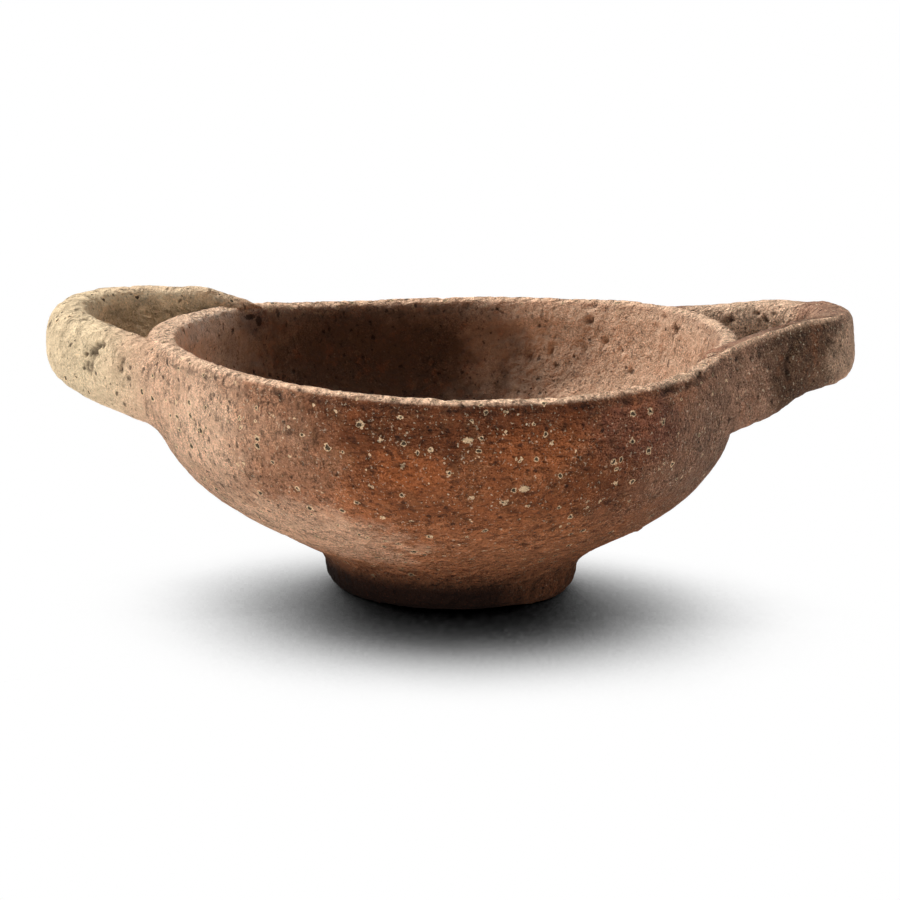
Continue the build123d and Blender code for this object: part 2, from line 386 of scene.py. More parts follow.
# Rim where the handles are: it rises as exp(-t^2) of the bearing from each root, and swells inwards in the
# same way at one place
def shapeRim(points, plain, bearing):
    x, y, z = np.moveaxis(plain, -1, 0)
    rise, thick = bowl["rootRise"], bowl["thickLip"]
    for handle in (leftHandle, rightHandle):
        for rootName, high in handle["rootRise"].items():
            apart = turnBetween(bearing, rootBearing(handle, rootName)) / rise["spread"]
            points[..., 2] += high * np.exp(-(apart**2)) * ease(z, *rise["heights"])
    apart = turnBetween(bearing, math.radians(thick["bearing"])) / math.radians(thick["spread"])
    inward = thick["by"] * np.exp(-(apart**2)) * ease(z, *thick["heights"])
    inward *= ease(lipRadius - np.hypot(x, y), *thick["inwards"])
    points[..., :2] *= (1 - inward / lipRadius)[..., None]
    return points


# Skin of the bowl along its normal: the clay's own, less the ragged pits inside, the marks outside and the
# wear of the lip, with the share of a hollow at each point
def bowlSkin(plain, bearing, inside):
    x, _, z = np.moveaxis(plain, -1, 0)
    skin, hollow = claySkin(plain, bowl["skin"], bowl["seed"])
    inner = bowl["innerPits"]
    here = inside * ease(x, *inner["across"]) * inner["share"]
    extra = here * pits(plain, inner["spacing"], inner["reach"], inner["chance"], inner["seed"])
    extra *= raggedShare(plain, inner["ragged"], inner["raggedSeed"])
    skin -= inner["deeper"] * here * hollow + inner["depth"] * extra
    hollow = np.maximum(hollow, np.clip(extra, 0.0, 1.0))
    for place, height, wide, tall, deep in bowl["marks"]:
        along = turnBetween(bearing, math.radians(place)) * bowl["markRadius"]
        mark = dent(along, z - height, wide, tall) * (1 - inside)
        skin -= deep * mark
        hollow = np.maximum(hollow, mark * (deep > 0))
    wear = bowl["lipWear"]
    worst = wear["least"] + ease(np.cos(bearing - wear["worstAt"]), *wear["cosines"])
    worn = np.maximum(lumps(plain, wear["size"], 3, wear["seed"]), -wear["proud"])
    skin -= wear["depth"] * ease(z, *wear["heights"]) * worst * worn
    return skin, hollow


# Bowl wall: a turned section, warped, its rim shaped, moved along its normals by its skin
def makeBowl():
    plain = turned(bowlSection, bowl["columns"])
    x, y, z = np.moveaxis(plain, -1, 0)
    bearing = np.arctan2(y, x)
    row = np.arange(len(plain))[:, None]
    inside = np.broadcast_to(ease(row, lipTop, lipTop + bowl["insideRows"]), x.shape)
    points = shapeRim(settle(plain), plain, bearing)
    skin, hollow = bowlSkin(plain, bearing, inside)
    points = points + gridNormals(points, capped=True) * skin[..., None]
    begins, full, fades, ends = bowl["edgeHeights"]
    edge = ease(z, begins, full) * (1 - ease(z, fades, ends)) * (1 - inside)
    stains = {"hollow": hollow, "inside": inside, "lip": ease(z, *bowl["lipHeights"]), "edge": edge}
    return gridPiece("cupBowl", points, stains, capped=True)


cupBowl = makeBowl()
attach(cupBowl, "root")
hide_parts("bowl")

# Ring foot: its section round from the inner top, down inside, across the worn base and up the outside, mm
foot = {
    "section": [
        (23.0, 7.6), (22.6, 5.0), (23.0, 1.6), (24.4, 0.3), (27.0, 0.05), (29.3, 0.35), (31.0, 1.9),
        (31.8, 4.2), (31.9, 6.5), (31.6, 9.2), (27.0, 9.2),
    ],
    "rowsPerSpan": [4, 5, 4, 5, 5, 6, 6, 6, 5, 4],
    "columns": 520,
    "seed": 31,
    "skin": {"lumpSize": 16.0, "lumpHeight": 0.5, "gritHeight": 0.25, "pitDepth": 0.4, "pitChance": 0.1},
}


# Ring foot: a turned closed section with its skin, worn flat where it stands
def makeFoot():
    plain = turned(throughKnots(foot["section"], foot["rowsPerSpan"]), foot["columns"])
    skin, hollow = claySkin(plain, foot["skin"], foot["seed"])
    points = plain + gridNormals(plain, capped=False) * skin[..., None]
    points[..., 2] = np.maximum(points[..., 2], 0.0)
    return gridPiece("ringFoot", points, {"hollow": hollow}, capped=False)


ringFoot = makeFoot()
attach(ringFoot, "root")
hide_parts("foot_ring")

# Cove over the foot: the three points of its curve, how its edges are sunk and over what share of it, and the
# points that close it behind, as steps from the three, mm
cove = {
    "side": (31.85, 4.6), "corner": (31.3, 8.4), "flank": (38.2, 12.4),
    "sunk": (-0.45, 0.405), "edge": 0.12,
    "behind": {"flank": (-1.2, 1.4), "corner": (-1.5, 1.5), "side": (-1.4, 0.0)},
    "rows": 40, "backRows": [6, 6], "columns": 520, "seed": 31,
    "skin": {"lumpSize": 16.0, "lumpHeight": 0.5, "gritHeight": 0.2, "pitDepth": 0.4, "pitChance": 0.1},
}


# Cove: a quadratic curve from the foot's side, past the corner, to the bowl's flank, closed behind and turned
def makeCove():
    t = np.linspace(0, 1, cove["rows"])[:, None]
    side, corner, flank = (np.array(cove[key]) for key in ("side", "corner", "flank"))
    face = (1 - t) ** 2 * side + 2 * t * (1 - t) * corner + t**2 * flank
    edge = cove["edge"]
    face = face + np.array(cove["sunk"]) * (ease(edge - t, 0, edge) + ease(t - 1 + edge, 0, edge))
    back = [np.add(cove[key], step) for key, step in cove["behind"].items()]
    plain = turned(np.vstack([face, throughKnots(back, cove["backRows"])]), cove["columns"])
    skin, hollow = claySkin(plain, cove["skin"], cove["seed"])
    skin[cove["rows"]:] = 0.0
    points = plain + gridNormals(plain, capped=False) * skin[..., None]
    return gridPiece("footCove", points, {"hollow": hollow}, capped=False)


footCove = makeCove()
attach(footCove, "root")
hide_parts("foot_luting")


# Strap skin before its ends are pressed home: a rounded oblong |x|^n + |y|^n = 1 carried along the middle
# line, its top sloping outwards, with the way that each point faces
def strapSkin(handle):
    lines = strapLines(handle)
    ahead = np.gradient(lines.centre, axis=0)
    ahead /= np.linalg.norm(ahead, axis=1, keepdims=True)
    side = np.cross(ahead, [0.0, 0.0, 1.0])
    side /= np.linalg.norm(side, axis=1, keepdims=True)
    side *= np.sign((side[:, :2] * lines.centre[:, :2]).sum(axis=1))[:, None]
    up = np.cross(side, ahead)
    up *= np.sign(up[:, 2])[:, None]
    turn = np.arange(strap["columnsRound"]) * 2 * np.pi / strap["columnsRound"]
    power = 2 / handle["square"]
    across = np.sign(np.cos(turn)) * np.abs(np.cos(turn)) ** power * lines.thick[:, None]
    upright = np.sign(np.sin(turn)) * np.abs(np.sin(turn)) ** power * lines.tall[:, None]
    upright = upright + across * lines.slope[:, None] * np.maximum(np.sin(turn), 0.0)
    points = lines.centre[:, None] + side[:, None] * across[..., None] + up[:, None] * upright[..., None]
    facing = side[:, None] * np.cos(turn)[None, :, None] + up[:, None] * np.sin(turn)[None, :, None]
    return points, facing, turn, lines


# Ends pressed home: points nearer the axis than the middle of the wall are moved out to it
def pressHome(points):
    r = np.hypot(points[..., 0], points[..., 1])
    outer = np.minimum(wallRadius(points[..., 2]), lipRadius + strap["pressMost"])
    grow = np.maximum((outer - strap["pressDepth"]) / np.maximum(r, tiny), 1.0)
    return points * np.stack([grow, grow, np.ones_like(grow)], axis=-1)


# Angle in degrees brought to between -180 and 180
def halfTurns(angle):
    return (angle + 180) % 360 - 180


# Strap handle: the pressed skin, warped with the bowl, with its lumps, pits, marks and worn ridge, which is
# exp(-t^2) of the turn round the strap and eased at both ends
def makeHandle(handle):
    plain, facing, turn, lines = strapSkin(handle)
    normals = gridNormals(settle(plain), capped=True)
    outward = np.sign((normals * facing).sum(axis=-1, keepdims=True))
    skin, hollow = claySkin(plain, strap["skin"], handle["seed"])
    around = halfTurns(np.degrees(turn))
    length = lines.run[-1] / lines.station[-1]
    dents = np.zeros(plain.shape[:2])
    for station, angle, long, wide, deep in handle["marks"]:
        along = lines.run[:, None] - station * length
        dents += deep * dent(along, (around - halfTurns(angle)) * strap["mmPerDegree"], long, wide)
    dents *= raggedShare(plain, strap["ragged"], handle["seed"] + strap["raggedSeed"])
    skin -= dents
    hollow = np.maximum(hollow, np.clip(dents, 0.0, 1.0))
    ridge, cut = handle["ridge"], strap["ridge"]
    ends = ease(lines.station, ridge["from"], ridge["from"] + cut["fade"])
    ends = ends * ease(-lines.station, -ridge["to"], cut["fade"] - ridge["to"])
    crest = np.exp(-(((around - ridge["turn"]) / ridge["spread"]) ** 2)) * ends[:, None]
    lumpy = cut["mean"] + cut["swing"] * lumps(plain, cut["size"], 2, handle["seed"] + cut["seed"])
    skin += crest * ridge["high"] * lumpy
    points = settle(pressHome(plain)) + normals * outward * skin[..., None]
    under = np.exp(-(((around - ridge["turn"] + cut["below"]) / cut["belowSpread"]) ** 2))
    under = under * crest.max(axis=1, keepdims=True)
    stains = {"hollow": hollow, "lip": crest * ridge["pale"], "edge": under * ridge["high"]}
    return gridPiece(handle["name"] + "Strap", points, stains, capped=True)


# Luting round a root, in mm: its reach from the corner along the strap and along the wall on each side, how
# deep its edges are sunk and over what share of it, and how deep its back lies
luting = {
    "onStrap": {"outside": 11.0, "hole": 4.5, "above": 1.6, "below": 7.0},
    "onWall": {"outside": 10.0, "hole": 4.0, "above": 0.5, "below": 5.0},
    "belowLip": 0.6, "sunk": 0.55, "edge": 0.15,
    "wallBack": 2.0, "cornerBack": (1.8, 1.0), "strapBack": 2.0,
    "rows": 44,
    "skin": {"lumpSize": 15.0, "lumpHeight": 0.8, "gritHeight": 0.25, "pitDepth": 0.5, "pitChance": 0.1},
}


# Point on each line of a strap's skin at a place between its rows, straight from one row to the next
def onLines(points, place):
    low = np.clip(np.floor(place).astype(int), 0, len(points) - 2)
    part = (place - low)[:, None]
    line = np.arange(points.shape[1])
    return points[low, line] * (1 - part) + points[low + 1, line] * part


# Luting: on each line of the strap's skin, a quadratic curve from the strap, past the corner where that line
# meets the wall, to the wall, with both edges sunk and the back closed inside the joint
def makeLuting(handle, rootName):
    plain, facing, turn, lines = strapSkin(handle)
    if rootName == "front":
        plain, facing = plain[::-1], facing[::-1]
    line = np.arange(len(turn))
    gap = np.hypot(plain[..., 0], plain[..., 1]) - wallRadius(plain[..., 2])
    half = len(plain) // 2
    meet = half + np.argmax(gap[half:] < 0, axis=0)
    before, after = gap[meet - 1, line], gap[meet, line]
    place = meet - 1 + before / np.maximum(before - after, tiny)
    corner = onLines(plain, place)
    away = facing[np.clip(np.round(place).astype(int), 0, len(plain) - 1), line]

    # Reach on the strap and on the wall, by the squares of the turn's cosine and sine
    turns = {"outside": np.cos(turn), "hole": -np.cos(turn), "above": np.sin(turn), "below": -np.sin(turn)}
    weights = {key: np.maximum(amount, 0) ** 2 for key, amount in turns.items()}
    onStrap = sum(luting["onStrap"][key] * weight for key, weight in weights.items())
    onWall = sum(luting["onWall"][key] * weight for key, weight in weights.items())
    start = onLines(plain, place - onStrap / (lines.run[1] - lines.run[0]))
    bearing = np.arctan2(corner[:, 1], corner[:, 0])
    sideways = away[:, 1] * np.cos(bearing) - away[:, 0] * np.sin(bearing)
    climb = away[:, 2]
    size = np.maximum(np.hypot(sideways, climb), tiny)
    z = np.minimum(corner[:, 2] + onWall * climb / size, lipHeight - luting["belowLip"])
    r = wallRadius(z)
    bearing = bearing + onWall * sideways / size / r
    end = np.stack([r * np.cos(bearing), r * np.sin(bearing), z], axis=-1)

    # Face between the sunk edges, then the back
    t = np.linspace(0, 1, luting["rows"])[:, None, None]
    face = (1 - t) ** 2 * start + 2 * t * (1 - t) * corner + t**2 * end
    radial = np.stack([np.cos(bearing), np.sin(bearing), 0 * bearing], axis=-1)
    edge = luting["edge"]
    sink = away * ease(edge - t, 0, edge) + radial * ease(t - 1 + edge, 0, edge)
    face = face - sink * luting["sunk"]
    behindWall = end - radial * luting["wallBack"]
    behindCorner = corner - radial * luting["cornerBack"][0] - away * luting["cornerBack"][1]
    behindStrap = start - away * luting["strapBack"]
    middles = [(behindWall + behindCorner) / 2, (behindCorner + behindStrap) / 2]
    back = np.stack([behindWall, middles[0], behindCorner, middles[1], behindStrap])
    grid = np.concatenate([face, back])
    points = settle(grid)
    normals = gridNormals(points, capped=False)
    outward = np.sign((normals[:luting["rows"]] * (away + radial)).sum())
    skin, hollow = claySkin(grid, luting["skin"], handle["seed"])
    skin[luting["rows"]:] = 0.0
    points = points + outward * normals * skin[..., None]
    name = handle["name"] + rootName.capitalize() + "Luting"
    return gridPiece(name, points, {"hollow": hollow}, capped=False)


rootLutings = []
straps = {}
for handle in (leftHandle, rightHandle):
    side = handle["name"]
    straps[side] = makeHandle(handle)
    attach(straps[side], "root")
    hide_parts(side + "_handle")
    for rootName in ("front", "rear"):
        coil = makeLuting(handle, rootName)
        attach(coil, "root")
        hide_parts(side + "_" + rootName + "_luting")
        rootLutings.append(coil)
print("pieces made")

# Steps from one seed's pattern to the next, and a cloud's ragged edge, its size as a share of the cloud's
seedSteps = (7.31, 3.17, 5.73)
cloudEdge = {"size": 0.35, "detail": 4.0, "rough": 0.65, "seed": 12, "swing": 1.2}


# A shader socket that takes part in sums like a number
class Wire:
    def __init__(self, tree, socket=None):
        self.tree = tree
        self.socket = socket

    # Any node: its settings first, then the values or links of its sockets
    def node(self, kind, settings, sockets, output=0):
        made = self.tree.nodes.new(kind)
        for key, value in settings.items():
            setattr(made, key, value)
        for key, value in sockets.items():
            if isinstance(value, Wire):
                self.tree.links.new(value.socket, made.inputs[key])
            else:
                made.inputs[key].default_value = value
        return Wire(self.tree, None if output is None else made.outputs[output])

    # Sums, products and powers add Math nodes, also with a number on their left
    def maths(self, operation, *values):
        return self.node("ShaderNodeMath", {"operation": operation}, dict(enumerate(values)))

    def __add__(self, other):
        return self.maths("ADD", self, other)

    def __radd__(self, other):
        return self.maths("ADD", other, self)

    def __sub__(self, other):
        return self.maths("SUBTRACT", self, other)

    def __rsub__(self, other):
        return self.maths("SUBTRACT", other, self)

    def __mul__(self, other):
        return self.maths("MULTIPLY", self, other)

    def __rmul__(self, other):
        return self.maths("MULTIPLY", other, self)

    def __truediv__(self, other):
        return self.maths("DIVIDE", self, other)

    def __rtruediv__(self, other):
        return self.maths("DIVIDE", other, self)

    def __pow__(self, other):
        return self.maths("POWER", self, other)

    def __rpow__(self, other):
        return self.maths("POWER", other, self)

    # The larger of two values
    def atLeast(self, other):
        return self.maths("MAXIMUM", self, other)

    # Eased step from 0 at low to 1 at high, falling where low is above high
    def ramp(self, low, high):
        ends = {"Value": self, "From Min": low, "From Max": high}
        return self.node("ShaderNodeMapRange", {"interpolation_type": "SMOOTHSTEP"}, ends)

    # Colour mixed towards another by a share
    def towards(self, colour, share):
        return self.node("ShaderNodeMix", {"data_type": "RGBA"}, {0: share, 6: self, 7: colour}, 2)

    # Colour made lighter or darker
    def shaded(self, amount):
        return self.node("ShaderNodeVectorMath", {"operation": "SCALE"}, {0: self, 3: amount})

    # Place in a pattern of a size in mm, drawn out along the axes and moved off by a seed
    def laidOut(self, size, stretch, seed):
        scale = [1 / (size * draw) for draw in stretch]
        shift = [seed * step for step in seedSteps]
        return self.node("ShaderNodeVectorMath", {"operation": "MULTIPLY_ADD"}, {0: self, 1: scale, 2: shift})

    # Soft noise about 0.5 of a size in mm
    def noise(self, size, detail=2.0, rough=0.5, stretch=(1, 1, 1), seed=0):
        place = self.laidOut(size, stretch, seed)
        sockets = {"Vector": place, "Scale": 1.0, "Detail": detail, "Roughness": rough}
        return self.node("ShaderNodeTexNoise", {}, sockets, "Fac")

    # Cloud: 1 in the middle, out to a share of its half sizes in mm, and 0 past them, with a ragged edge
    def cloud(self, middle, reach, full=0.4):
        parts = {0: self, 1: [1 / half for half in reach], 2: [-m / half for m, half in zip(middle, reach)]}
        apart = self.node("ShaderNodeVectorMath", {"operation": "MULTIPLY_ADD"}, parts)
        apart = self.node("ShaderNodeVectorMath", {"operation": "LENGTH"}, {0: apart}, "Value")
        size = cloudEdge["size"] * min(reach)
        ragged = self.noise(size, cloudEdge["detail"], cloudEdge["rough"], seed=cloudEdge["seed"]) - 0.5
        return (apart + ragged * cloudEdge["swing"]).ramp(1.0, full)

    # Scattered grains: distance in mm from the nearest one's middle, and two random numbers of its own
    def grains(self, spacing, stretch=(1, 1, 1), seed=0):
        sockets = {"Vector": self.laidOut(spacing, stretch, seed), "Scale": 1.0}
        near = self.node("ShaderNodeTexVoronoi", {}, sockets, "Distance")
        luck = Wire(self.tree, near.socket.node.outputs["Color"])
        first = self.node("ShaderNodeSeparateColor", {}, {"Color": luck}, "Red")
        second = Wire(self.tree, first.socket.node.outputs["Green"])
        return near * spacing, first, second


# Colour from sRGB numbers up to 255, as Blender's linear values: even near black, a power of 2.4 above that
def paint(*numbers):
    share = np.array(numbers) / 255.0
    return (*np.where(share <= 0.04045, share / 12.92, ((share + 0.055) / 1.055) ** 2.4).tolist(), 1.0)


# Clay colours, some of them used for painted shade and painted light
tone = {
    "warm": paint(158, 94, 56), "umber": paint(132, 75, 42), "pink": paint(182, 138, 108),
    "cream": paint(228, 204, 166), "grey": paint(150, 118, 98), "inner": paint(222, 186, 156),
    "lip": paint(246, 206, 172), "stainAndShade": paint(84, 40, 15), "rust": paint(110, 62, 50),
    "orange": paint(164, 90, 46), "shadeAndDarkTone": paint(70, 47, 30), "olive": paint(104, 78, 50),
    "ring": paint(250, 216, 172), "hole": paint(40, 24, 16), "speck": paint(250, 230, 196),
    "nearBlack": paint(38, 20, 12), "pale": paint(204, 136, 94), "blush": paint(230, 190, 158),
    "paintedLightGrey": paint(208, 190, 174),
}

# Where the body turns to another tone, as the ends of an eased step, and that tone's share
toneSpread = {
    "umber": {"ends": (0.38, 0.62)},  # in patches
    "grey": {"ends": (26.0, 70.0), "share": 0.8},  # mm to the right
    "pale": {"ends": (36.0, 14.0), "share": 0.7, "inside": 0.6},  # mm down the wall, less inside
    "pink": {"ends": (-14.0, -62.0), "share": 0.9},  # mm to the left
    "inner": {"ends": (30.0, -10.0), "share": 0.55, "most": 0.85},  # inside, and less of it in the near half
    "blush": {"ends": (-42.0, -70.0), "share": 0.6},  # mm to the left
    "farther": {"ends": (5.0, 40.0), "share": 24.0},  # mm by which cream starts later at the back
    "cream": {"ends": (-73.0, -92.0), "drift": 0.4},  # mm to the left, on the handle
    "orange": {"ends": (0.52, 0.66), "share": 0.2},  # in small patches
    "olive": {"ends": (0.48, 0.36), "share": 0.2},
    "lip": {"ends": (0.42, 0.54), "share": 0.35, "least": 0.5},  # where the lip is chafed
    "edge": {"ends": (0.48, 0.58), "share": 0.5, "cut": (0.48, 0.56), "depth": 0.4},  # under the lip, mm deep
    "foot": {"ends": (14.0, 4.5), "most": 0.99, "right": (8.0, 30.0), "share": 0.45},  # painted shade low down, less on the right
    "hollow": {"ends": (0.1, 0.9), "share": 0.6},
}

# Noises of the clay: size in mm, octaves, how strong the fine ones are, how far drawn out along the axes
clayNoise = {
    "patch": {"size": 20.0, "detail": 5.0, "rough": 0.62, "seed": 1},
    "drift": {"size": 16.0, "detail": 4.0, "rough": 0.65, "seed": 2},
    "grit": {"size": 0.45, "detail": 2.0, "rough": 0.7, "seed": 3},
    "relief": {"size": 4.5, "detail": 4.0, "rough": 0.55, "seed": 4},
    "wiped": {"size": 1.3, "detail": 3.0, "rough": 0.55, "stretch": (0.9, 0.9, 1.6), "seed": 5},
    "wheeled": {"size": 1.2, "detail": 3.0, "rough": 0.55, "stretch": (1.7, 1.7, 0.9), "seed": 6},
    "crowd": {"size": 26.0, "seed": 10},
    "patchy": {"size": 8.0, "detail": 3.0, "rough": 0.6, "seed": 11},
    "tint": {"size": 5.0, "detail": 5.0, "rough": 0.7, "seed": 15},
    "chafed": {"size": 2.0, "detail": 4.0, "rough": 0.7, "seed": 16},
    "uneven": {"size": 0.7, "detail": 1.0, "seed": 17},
    "pitted": {"size": 1.15, "detail": 3.0, "rough": 0.62, "stretch": (1.0, 1.0, 1.3), "seed": 18},
    "crumb": {"size": 0.8, "detail": 3.0, "rough": 0.62, "seed": 19},
}

# What the layers share: how far the tones drift in mm, where the skin is patchy or crowded with grains, where
# it was smoothed up and down at the left and right, and the pattern that ruffles the grains' edges
common = {
    "drift": 44.0, "patchy": (0.36, 0.6), "crowd": (0.4, 0.6),
    "smoothed": ((-12.0, -42.0), (38.0, 62.0)), "ruffle": {"Scale": 1.2, "Detail": 2.0},
}


# Places in the clay: mm along the axes, the stains kept on the mesh, and slow patterns that the layers share
def clayPlaces(tree):
    start = Wire(tree)
    at = SimpleNamespace(start=start)
    at.spot = start.node("ShaderNodeTexCoord", {}, {}, "Object").shaded(1 / mm)
    at.x = start.node("ShaderNodeSeparateXYZ", {}, {0: at.spot}, "X")
    at.y, at.z = (Wire(tree, at.x.socket.node.outputs[axis]) for axis in "YZ")
    for stainAndShade in ("hollow", "inside", "lip", "edge"):
        setattr(at, stainAndShade, start.node("ShaderNodeAttribute", {"attribute_name": stainAndShade}, {}, "Fac"))
    at.noise = lambda name: at.spot.noise(**clayNoise[name])
    at.drift = (at.noise("drift") - 0.5) * common["drift"]
    at.place = at.x + at.drift
    at.patchy = at.noise("patchy").ramp(*common["patchy"])
    at.crowd = at.noise("crowd").ramp(*common["crowd"])
    at.chafed = at.noise("chafed")
    left, right = (at.place.ramp(*ends) for ends in common["smoothed"])
    at.smoothed = left + right
    ruffle = start.node("ShaderNodeTexNoise", {}, {"Vector": at.spot, **common["ruffle"]}, "Color")
    moved = {0: ruffle, 1: (1.0, 1.0, 1.0), 2: at.spot}
    at.ruffled = start.node("ShaderNodeVectorMath", {"operation": "MULTIPLY_ADD"}, moved)
    return at


# Share of a tone at a value: its eased step times its share
def toneShare(name, value):
    return value.ramp(*toneSpread[name]["ends"]) * toneSpread[name]["share"]


# Fired colour of the body: tones by patches and by place, then clouds, some of fire and some painted shade,
# painted shadow inside, small tints, and the chafed lip with the dark line under it
def firedColour(at, look):
    patches = at.noise("patch").ramp(*toneSpread["umber"]["ends"])
    fired = {0: patches, 6: tone["warm"], 7: tone["umber"]}
    clay = at.start.node("ShaderNodeMix", {"data_type": "RGBA"}, fired, 2)
    clay = clay.towards(tone["grey"], toneShare("grey", at.place))
    outside = 1 - at.inside * toneSpread["pale"]["inside"]
    clay = clay.towards(tone["pale"], toneShare("pale", at.z) * outside)
    clay = clay.towards(tone["pink"], toneShare("pink", at.place))
    clay = clay.towards(tone["inner"], at.inside * (toneSpread["inner"]["most"] - toneShare("inner", at.y)))
    clay = clay.towards(tone["blush"], toneShare("blush", at.place))
    toLeft = at.x + at.drift * toneSpread["cream"]["drift"] - toneShare("farther", at.y)
    clay = clay.towards(tone["cream"], toLeft.ramp(*toneSpread["cream"]["ends"]) * look["cream"])
    for name, share, middle, reach in look["clouds"]:
        clay = clay.towards(tone[name], at.spot.cloud(middle, reach) * share)
    for name, share, middle, reach in look["insideShade"]:
        clay = clay.towards(tone[name], at.spot.cloud(middle, reach) * at.inside * share)
    tint = at.noise("tint")
    clay = clay.towards(tone["orange"], toneShare("orange", tint) * (1 - look["cream"]))
    clay = clay.towards(tone["olive"], toneShare("olive", tint))
    clay = clay.towards(tone["lip"], at.lip * (toneSpread["lip"]["least"] + toneShare("lip", at.chafed)))
    return clay.towards(tone["nearBlack"], at.edge * toneShare("edge", at.chafed))


# Grain: how strongly each part of it shades the colour, partly the grain's own tone and partly painted shade
# in its low places and painted light on its high ones, its height in mm, and the share missing inside. Grit
# is coarser on patches, and to the right between two places in mm
clayGrain = {
    "grit": {
        "shade": 3.4, "height": 0.6, "inside": 0.4,
        "least": 0.5, "patchy": 0.7, "right": 0.6, "ends": (20.0, 50.0),
    },
    "stroke": {"shade": 1.3, "height": 2.6, "inside": 0.8},
    "relief": {"shade": 1.2, "height": 5.0, "inside": 0.55},
    # Cream on the high places is painted light on the raised grain
    "paleOnHigh": {"ends": (0.1, 0.9), "share": 0.1},  # cream on the high places
}

# Pits and crumbs: the ends of the eased step that picks them out, their share of the colour and height in mm
clayPits = {
    "pitted": {"ends": (0.645, 0.685), "share": 0.42, "height": -0.5},
    "torn": {"ends": (0.13, 0.17), "share": 0.32, "height": -0.5, "patchy": 0.03},
    "crumb": {"ends": (0.63, 0.69), "share": 0.38, "height": 0.1, "patchy": 0.03, "inside": 0.9},
}


# Grain and relief of the clay, drawn out along the wheel's turn or, where it was smoothed, up and down: the
# colour is shaded by 2 to the power of their sum, which rises with the bump's height, so it is partly the
# grain's own tone and partly painted shade in the low places and painted light on the high ones. Then ragged
# pits, torn strokes and pale crumbs
def roughGrain(clay, at, look):
    relief = (at.noise("relief") - 0.5) * (1 - at.inside * clayGrain["relief"]["inside"])
    gritty = clayGrain["grit"]
    coarse = at.patchy * gritty["patchy"] + at.place.ramp(*gritty["ends"]) * gritty["right"]
    grit = (at.noise("grit") - 0.5) * (coarse + gritty["least"]) * (1 - at.inside * gritty["inside"])
    wheeled, wiped = at.noise("wheeled"), at.noise("wiped")
    stroke = (wheeled + (wiped - wheeled) * at.smoothed - 0.5) * look["streak"]
    stroke = stroke * (1 - at.inside * clayGrain["stroke"]["inside"])
    parts = {"grit": grit, "stroke": stroke, "relief": relief}
    shade = sum(part * clayGrain[key]["shade"] for key, part in parts.items()) * look["grain"]
    # Painted shade and light of the grain: darker where it is low, lighter where it is high, besides its own
    # tone
    clay = clay.shaded(2.0**shade * look["value"])
    clay = clay.towards(tone["cream"], shade.ramp(*clayGrain["paleOnHigh"]["ends"]) * clayGrain["paleOnHigh"]["share"])
    fine = grit * gritty["height"] + stroke * clayGrain["stroke"]["height"]
    height = relief * clayGrain["relief"]["height"] + fine * look["grain"]

    pitted = (at.noise("pitted") + at.patchy * look["pitted"]).ramp(*clayPits["pitted"]["ends"])
    tearing = at.patchy * (clayPits["torn"]["patchy"] * look["streak"]) - stroke
    torn = tearing.ramp(*clayPits["torn"]["ends"])
    crumb = (at.noise("crumb") + at.patchy * clayPits["crumb"]["patchy"]).ramp(*clayPits["crumb"]["ends"])
    crumb = crumb * (1 - at.inside * clayPits["crumb"]["inside"])
    for key, colour, part in (("pitted", "hole", pitted), ("torn", "hole", torn), ("crumb", "speck", crumb)):
        clay = clay.towards(tone[colour], part * clayPits[key]["share"])
        height = height + part * clayPits[key]["height"]
    return clay, height


# Scattered spots: spacing in mm, radius from a least one up by a random number or its square, the share of
# the radius that is full, and the random numbers that pick them, helped where they gather
claySpots = {
    "speck": {
        "spacing": 1.1, "stretch": (1, 1, 1), "seed": 7, "square": True, "grow": 0.3, "least": 0.08,
        "full": 0.5, "gather": 0.25, "chosen": (0.82, 0.84), "share": 0.6, "inside": 0.9,
    },
    "pore": {
        "spacing": 1.9, "stretch": (1, 1, 1), "seed": 8, "square": True, "grow": 0.65, "least": 0.14,
        "full": 0.4, "gather": 0.3, "chosen": (0.72, 0.74), "share": 0.75,
    },
    "gouge": {
        "spacing": 2.6, "stretch": (1, 1, 2.4), "seed": 13, "square": False, "grow": 0.6, "least": 0.2,
        "full": 0.5, "gather": 0.3, "chosen": (0.74, 0.76), "share": 0.65,
    },
}
wornDepth = 0.6  # mm, of pores and gouges

# Lime grains burnt to a pale ring round a hole: radius in mm, how uneven they are, and the ends of the eased
# steps of the ring and the hole, with their shares of the colour and heights in mm
clayLime = {
    "spacing": 3.4, "seed": 9, "grow": 0.6, "least": 0.42, "uneven": 1.1, "gather": 0.4, "sharp": 0.02,
    "inside": 0.95, "smallest": (0.1, 0.2),  # sizes below which a grain has no hole
    "ring": {"ends": (1.0, 0.88), "share": 0.85, "height": 0.12},
    "hole": {"ends": (0.68, 0.56), "share": 0.9, "height": -0.4},
}
fleckForm = {"full": 0.8, "share": 0.85}


# Spots: 1 within a share of a grain's own radius and 0 past it, on the grains that a random number picks
def scattered(at, key, gathering):
    spot = claySpots[key]
    far, luck, size = at.ruffled.grains(spot["spacing"], spot["stretch"], spot["seed"])
    radius = (size * size if spot["square"] else size) * spot["grow"] + spot["least"]
    return (far / radius).ramp(1.0, spot["full"]) * (luck + gathering * spot["gather"]).ramp(*spot["chosen"])


